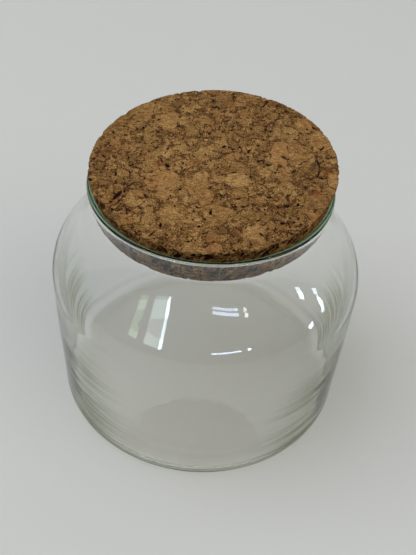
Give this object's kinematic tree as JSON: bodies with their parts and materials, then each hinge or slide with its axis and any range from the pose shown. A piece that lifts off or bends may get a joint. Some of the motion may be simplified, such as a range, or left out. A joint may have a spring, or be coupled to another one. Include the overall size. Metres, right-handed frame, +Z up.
{
  "type": "glass storage jar with cork stopper",
  "caption": "Squat wide-mouth clear glass storage jar with sloping shoulders and a flared rim, closed by a tapered cork stopper.",
  "frame": {"origin": "centre of the jar's base, at the level that it stands on", "axes": "+Z up along the jar's axis; the stopper is cocked, standing highest towards +X and +Y"},
  "size_m": [0.1372, 0.1372, 0.1307],
  "materials": {
    "clear_glass": "clear, smooth, faint green tint",
    "cork": "matt granules with dark pits"
  },
  "bodies": {
    "root": {"glass_jar": "clear_glass", "cork_stopper": "cork"}
  },
  "joints": []
}
